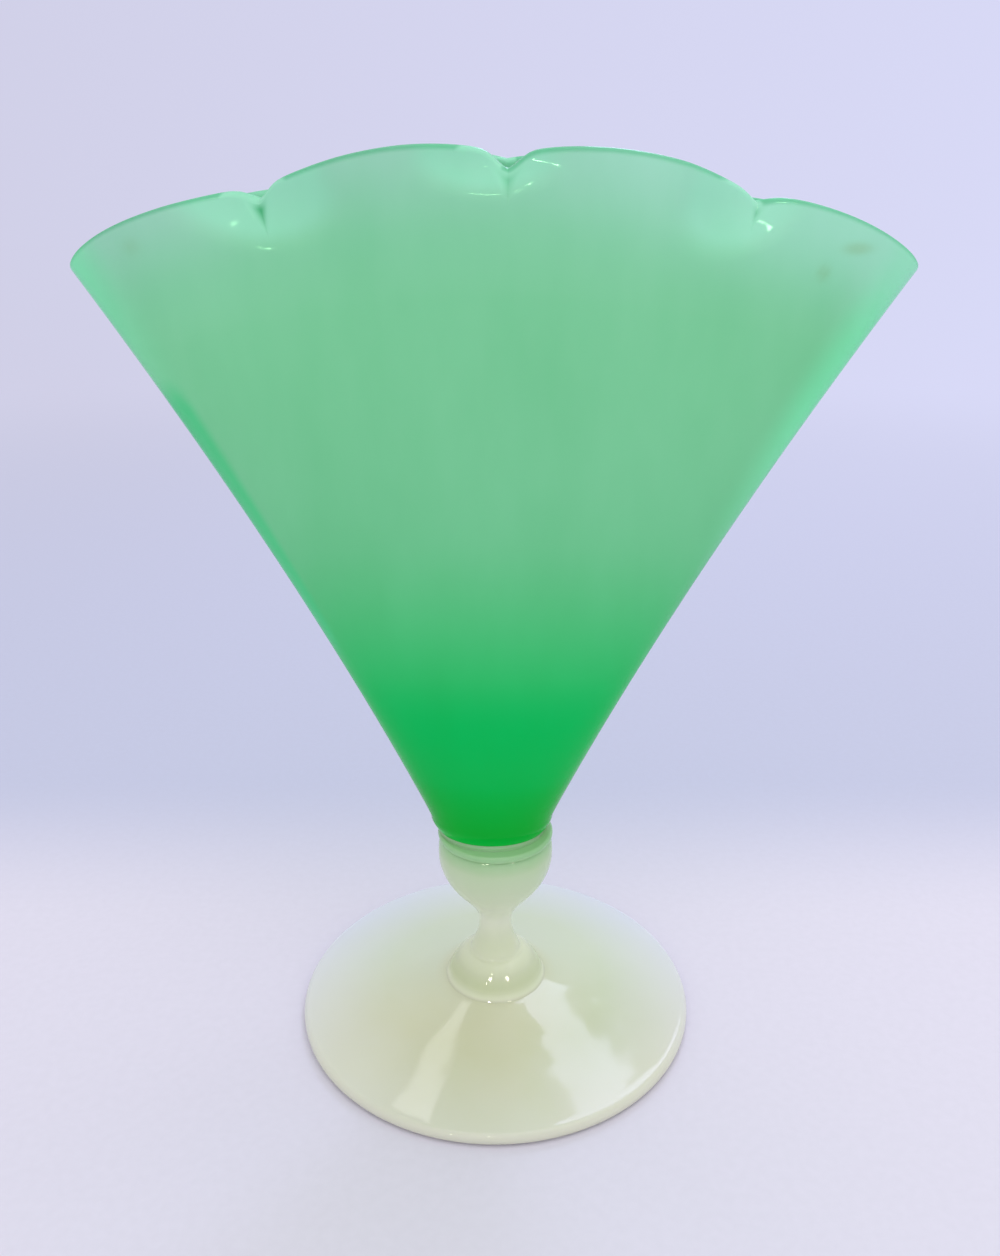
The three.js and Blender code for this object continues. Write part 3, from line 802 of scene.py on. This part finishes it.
def glass_named(name):
    """One of the two glasses, made on first use."""
    makers = {JADE: jade_material, PEARL: pearl_material}
    return bpy.data.materials.get(name) or makers[name](bpy.context.scene.fan_vase_glass)


class FANVASE_OT_bowl(bpy.types.Operator):
    """Builds the jade fan bowl with its pressed rim"""

    bl_idname = "fanvase.bowl"
    bl_label = "Fan Bowl"

    def execute(self, context):
        sizes = context.scene.fan_vase_bowl
        bowl = FanBowl(sizes)
        rings = bowl.rings()
        below = (-sizes.heel_shift, 0, sizes.bottom)
        floor = (-sizes.heel_shift, 0, sizes.bottom + sizes.floor_thickness)
        points, faces = loft(rings, below, floor)
        mesh_piece("fan_bowl", points, faces, glass_named(JADE), "bowl", bowl.marks(rings))
        return {"FINISHED"}


class FANVASE_OT_wafers(bpy.types.Operator):
    """Builds the two pearl wafers that weld the bowl, the stem and the foot together"""

    bl_idname = "fanvase.wafers"
    bl_label = "Wafers"

    def execute(self, context):
        sizes = context.scene.fan_vase_turned
        bowl = context.scene.fan_vase_bowl
        self.foot_wafer(sizes)
        self.bowl_wafer(sizes, bowl.pad_width / 2 + bowl.heel_shift)
        points, faces = closed_loft(FanBowl(bowl).weld_rings())
        mesh_piece("weld_bead", points, faces, glass_named(PEARL), "bowl_wafer")
        return {"FINISHED"}

    def foot_wafer(self, s):
        """A domed bead that flowed out over the foot."""
        low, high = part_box("foot_wafer")
        radius, weld, height = s.foot_wafer / 2, s.foot_wafer_pad / 2, high.z - low.z
        dome_reach, dome_drop, skirt = 0.0012, 0.00155, 0.0002
        profile = Profile(0, high.z, s.curve_steps)
        profile.line(weld, high.z)
        profile.curve((weld + dome_reach, high.z - dome_drop), (radius - skirt, low.z + height * 0.4))
        profile.curve((radius + skirt, low.z + height * 0.15), (radius + s.foot_weld, low.z))
        profile.line(0, low.z)
        turned_piece(profile, s.facets, "foot_wafer_glass", "foot_wafer")

    def bowl_wafer(self, s, pad):
        """A disc with a rounded edge, tucked in above the cup."""
        low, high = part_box("bowl_wafer")
        radius, height = s.bowl_wafer / 2, high.z - low.z
        profile = Profile(0, high.z, s.curve_steps)
        profile.line(pad, high.z)
        profile.curve((radius, high.z), (radius, low.z + height * 0.5))
        profile.curve((radius, low.z + height * 0.08), (radius - s.bowl_wafer_tuck, low.z))
        profile.line(0, low.z)
        turned_piece(profile, s.facets, "bowl_wafer_glass", "bowl_wafer")


class FANVASE_OT_stem(bpy.types.Operator):
    """Builds the pearl stem with its cup, its narrow neck and the flare that spreads over the wafer"""

    bl_idname = "fanvase.stem"
    bl_label = "Stem"

    def execute(self, context):
        s = context.scene.fan_vase_turned
        bottom, top = STEM_LOW.z, STEM_HIGH.z
        cup, neck, flare, weld = s.cup / 2, s.neck / 2, s.flare / 2, s.foot_wafer_pad / 2
        cup_level = top - s.cup_lip * 1.6
        taper = cup_level - s.neck_level
        spread = s.neck_level - bottom
        fillet, dome_reach, dome_rise = 0.001, 0.0013, 0.0017
        profile = Profile(0, top, s.curve_steps)
        profile.line(cup - s.cup_lip / 2, top)
        profile.curve((cup, top), (cup, cup_level))
        profile.curve((cup, cup_level - taper * 0.49), (neck, cup_level - taper * 0.67), (neck, s.neck_level))
        profile.curve((neck, bottom + spread * 0.62), (flare * 0.86, bottom + spread * 0.55),
                      (flare, bottom + spread * 0.3))
        profile.curve((flare + fillet * 0.2, bottom + spread * 0.23),
                      (flare + fillet, bottom + spread * 0.215))
        profile.curve((weld - dome_reach, bottom + dome_rise), (weld, bottom))
        profile.line(0, bottom)
        turned_piece(profile, s.facets, "stem_glass", "stem")
        return {"FINISHED"}


class FANVASE_OT_foot(bpy.types.Operator):
    """Builds the spread pearl foot with its standing ring and the hollow beneath"""

    bl_idname = "fanvase.foot"
    bl_label = "Foot"

    def execute(self, context):
        s = context.scene.fan_vase_turned
        top = FOOT_HIGH.z
        radius, pad, mark = s.foot_diameter / 2, s.foot_pad / 2, s.mark_diameter / 2
        half = s.foot_edge / 2
        ring = radius - half - s.standing_ring
        crown = s.foot_hollow + s.mark_depth
        profile = Profile(0, top, s.curve_steps)
        profile.line(pad, top)
        profile.curve((pad + (radius - pad) * 0.45, s.foot_edge + s.foot_swell), (radius - half, s.foot_edge))
        profile.half_round(radius - half, half, half)
        profile.line(ring, 0)
        profile.curve((ring + (mark - ring) * 0.6, s.foot_hollow), (mark, s.foot_hollow))
        profile.curve((mark / 2, crown), (0, crown))
        turned_piece(profile, s.facets, "foot_glass", "foot")
        return {"FINISHED"}


def seen_rays(tree):
    """A mask of the rays that see the backdrop: camera, glossy and transmission rays."""
    rays = tree.nodes.new("ShaderNodeLightPath").outputs
    mask = rays["Is Camera Ray"]
    for ray in ("Is Glossy Ray", "Is Transmission Ray"):
        mask = math_node(tree, "seen rays", "MAXIMUM", mask, rays[ray])
    return mask


def backdrop_light(tree, direction, stage):
    """Plain colour of the backdrop, a little brighter towards the right. The direction starts at the vase."""
    axes = tree.nodes.new("ShaderNodeSeparateXYZ")
    tree.links.new(direction, axes.inputs["Vector"])
    across = map_range(tree, "left to right", axes.outputs["X"], -0.45, 0.45)
    return mix_colours(tree, "backdrop", across, tuple(stage.backdrop_left), tuple(stage.backdrop_right))


def mix_shaders(tree, factor, first, second, output):
    """Links a mix of two shaders to the output of a tree."""
    mix = tree.nodes.new("ShaderNodeMixShader")
    tree.links.new(factor, mix.inputs["Fac"])
    tree.links.new(first, mix.inputs[1])
    tree.links.new(second, mix.inputs[2])
    tree.links.new(mix.outputs["Shader"], output.inputs["Surface"])


def table_material(stage):
    """Matt pale cloth on the table with painted shade behind the vase, running into the backdrop far from the
    vase.
    """
    material, tree, output = blank_material("table")
    shader = new_node(tree, "ShaderNodeBsdfPrincipled", "table", Roughness=0.9, Specular_IOR_Level=0.15)
    place, axes = object_place(tree)
    # Painted shade of the vase on the cloth behind it
    behind = map_range(tree, "behind the vase", axes["Y"], 0.03, 0.125, smooth=True)
    tone = mix_colours(tree, "table tone", behind, tuple(stage.table_colour), tuple(stage.rear_painted_shade))
    weave = noise(tree, "cloth", place, Scale=420.0, Detail=3.0)
    threads = map_range(tree, "cloth strength", weave.outputs["Fac"], 0.3, 0.7, end=0.06)
    tone = mix_colours(tree, "cloth", threads, tone, tuple(0.6 * c for c in stage.table_colour))
    tree.links.new(tone, shader.inputs["Base Color"])
    way = vector_node(tree, "way from the vase", "NORMALIZE", place, "Vector")
    backdrop = new_node(tree, "ShaderNodeEmission", "backdrop", Strength=1.0)
    tree.links.new(backdrop_light(tree, way, stage), backdrop.inputs["Color"])
    span = vector_node(tree, "distance from the vase", "LENGTH", place, "Value")
    far = map_range(tree, "far from the vase", span, 0.2, 1.2, smooth=True)
    fades = math_node(tree, "fades into the backdrop", "MULTIPLY", far, seen_rays(tree))
    mix_shaders(tree, fades, shader.outputs["BSDF"], backdrop.outputs["Emission"], output)
    return material


def area_light(name, place, target, size, power, tone=(1, 1, 1), shape="RECTANGLE"):
    """A soft light at a place, facing a target."""
    light = bpy.data.lights.new(name, "AREA")
    light.shape = shape
    light.size, light.size_y = size
    light.energy = power
    light.color = tone
    lamp = bpy.data.objects.new(name, light)
    lamp.location = place
    lamp.rotation_euler = (Vector(target) - Vector(place)).to_track_quat("-Z", "Y").to_euler()
    lamp.visible_camera = False
    bpy.context.scene.collection.objects.link(lamp)
    return lamp


class FANVASE_OT_stage(bpy.types.Operator):
    """Sets the table, the light around the vase and the camera. The vase is built before it"""

    bl_idname = "fanvase.stage"
    bl_label = "Table, Light and Camera"

    def execute(self, context):
        stage = context.scene.fan_vase_stage
        self.table(stage)
        self.world(stage)
        self.soft_lights(stage)
        self.glint_lamps(stage)
        self.camera(stage)
        context.scene.view_settings.view_transform = "Standard"
        return {"FINISHED"}

    def table(self, stage):
        half = stage.table_size / 2
        corners = [(-half, -half, 0), (half, -half, 0), (half, half, 0), (-half, half, 0)]
        mesh = bpy.data.meshes.new("table")
        mesh.from_pydata(corners, [], [(0, 1, 2, 3)])
        mesh.materials.append(table_material(stage))
        table = bpy.data.objects.new("table", mesh)
        table.location.z = -stage.table_gap
        bpy.context.scene.collection.objects.link(table)

    def world(self, stage):
        world = bpy.data.worlds.new("room")
        world.use_nodes = True
        tree = world.node_tree
        tree.nodes.clear()
        output = tree.nodes.new("ShaderNodeOutputWorld")
        place = tree.nodes.new("ShaderNodeTexCoord")
        seen = new_node(tree, "ShaderNodeBackground", "backdrop", Strength=1.0)
        tree.links.new(backdrop_light(tree, place.outputs["Generated"], stage), seen.inputs["Color"])
        around = new_node(tree, "ShaderNodeBackground", "ambient", Color=AMBIENT_LIGHT,
                          Strength=stage.ambient)
        mix_shaders(tree, seen_rays(tree), around.outputs["Background"], seen.outputs["Background"], output)
        bpy.context.scene.world = world

    def soft_lights(self, stage):
        base = (0, 0, 0)
        area_light("overhead", OVERHEAD_PLACE, base, (1.2, 1.2), stage.overhead_power)
        area_light("window", WINDOW_PLACE, base, (0.21, 0.33), stage.window_power, WINDOW_LIGHT)
        area_light("window_strip", WINDOW_STRIP_PLACE, base, (0.14, 0.07), stage.strip_power)
        ahead = (0, 0, FILL_CARD_PLACE[2])
        area_light("fill_card", FILL_CARD_PLACE, ahead, (1.2, 0.7), stage.card_power)

    def glint_lamps(self, stage):
        """Small round lamps that only glint, in the pressed dishes or in the bead under the stem."""
        for name, place in DISH_LAMPS.items():
            self.glint_lamp(name, place, (0, 0, 0.2), 0.052, stage.lamp_power)
        bead = bpy.data.collections.new("bead_and_stem")
        for name in ("foot_wafer_glass", "stem_glass"):
            bead.objects.link(bpy.data.objects[name])
        for name, place in BEAD_LAMPS.items():
            lamp = self.glint_lamp(name, place, (0, 0, STEM_LOW.z), 0.14, stage.bead_power)
            lamp.light_linking.receiver_collection = bead

    def glint_lamp(self, name, place, target, diameter, power):
        lamp = area_light(name, place, target, (diameter, diameter), power, LAMP_LIGHT, "DISK")
        lamp.visible_diffuse = False
        return lamp

    def camera(self, stage):
        data = bpy.data.cameras.new("camera")
        data.sensor_fit = "VERTICAL"
        data.sensor_height = 36.0
        data.lens = stage.lens
        data.clip_start = 0.01
        camera = bpy.data.objects.new("camera", data)
        camera.location = (stage.camera_side, -stage.camera_distance, stage.camera_height)
        camera.rotation_euler = (math.pi / 2 - stage.camera_pitch, 0, 0)
        bpy.context.scene.collection.objects.link(camera)
        bpy.context.scene.camera = camera


class FANVASE_PT_panel(bpy.types.Panel):
    """Lists the pieces of the fan vase"""

    bl_idname = "FANVASE_PT_panel"
    bl_label = "Fan Vase"
    bl_space_type = "VIEW_3D"
    bl_region_type = "UI"
    bl_category = "Fan Vase"

    def draw(self, context):
        for operator in OPERATORS:
            self.layout.operator(operator.bl_idname)
        for key in SETTINGS:
            box = self.layout.box()
            settings = getattr(context.scene, key)
            for field in settings.bl_rna.properties:
                if not field.is_readonly and field.identifier != "name":
                    box.prop(settings, field.identifier)


SETTINGS = {
    "fan_vase_bowl": FanBowlSettings,
    "fan_vase_turned": TurnedGlassSettings,
    "fan_vase_glass": GlassSettings,
    "fan_vase_stage": StageSettings,
}
OPERATORS = (FANVASE_OT_bowl, FANVASE_OT_wafers, FANVASE_OT_stem, FANVASE_OT_foot, FANVASE_OT_stage)


def register():
    for made in (*SETTINGS.values(), *OPERATORS, FANVASE_PT_panel):
        bpy.utils.register_class(made)
    for key, settings in SETTINGS.items():
        setattr(bpy.types.Scene, key, PointerProperty(type=settings))


def unregister():
    for key in SETTINGS:
        delattr(bpy.types.Scene, key)
    for made in reversed((*SETTINGS.values(), *OPERATORS, FANVASE_PT_panel)):
        bpy.utils.unregister_class(made)


def main():
    register()
    bpy.ops.fanvase.bowl()
    bpy.ops.fanvase.wafers()
    bpy.ops.fanvase.stem()
    bpy.ops.fanvase.foot()
    bpy.ops.fanvase.stage()


if __name__ == "__main__":
    main()
